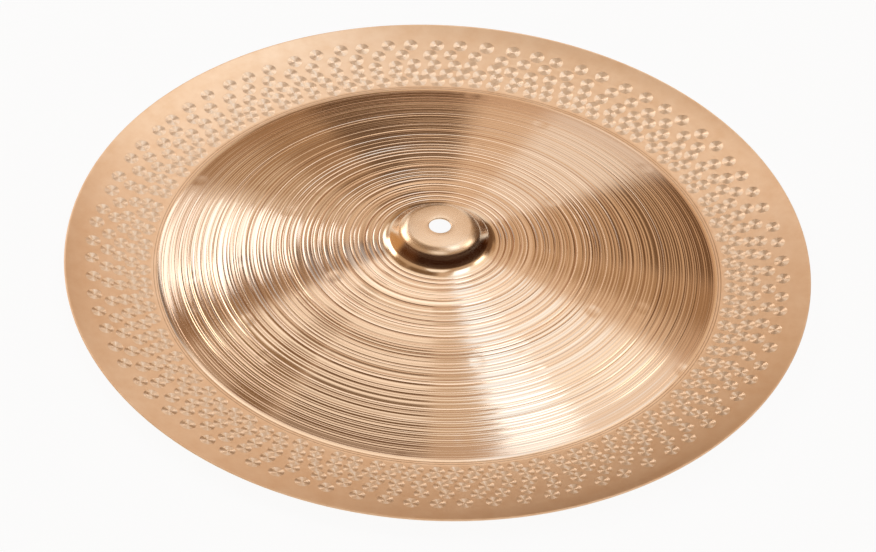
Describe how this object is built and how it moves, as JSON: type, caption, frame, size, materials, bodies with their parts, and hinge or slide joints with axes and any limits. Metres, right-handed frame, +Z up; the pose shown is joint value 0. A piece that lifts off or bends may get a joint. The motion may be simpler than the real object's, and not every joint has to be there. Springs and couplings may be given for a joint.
{
  "type": "china cymbal",
  "caption": "Round bronze china cymbal: a low flat-topped bell with a central hole, a gently domed bow, a narrow valley and an upturned outer flange.",
  "frame": {"origin": "on the cymbal's axis, in the plane of the underside of the valley, which is the ring the cymbal rests on with its bell up", "axes": "+Z up along the cymbal's axis, towards the top of the bell; X and Y lie in the resting plane and are free, because the cymbal is round"},
  "size_m": [0.4572, 0.4572, 0.0337],
  "materials": {
    "bronze": "bare tin bronze: coarse turned grooves on the bow, brushed and hammered on the flange, smooth on the bell"
  },
  "bodies": {
    "root": {"cymbal": "bronze"}
  },
  "joints": []
}
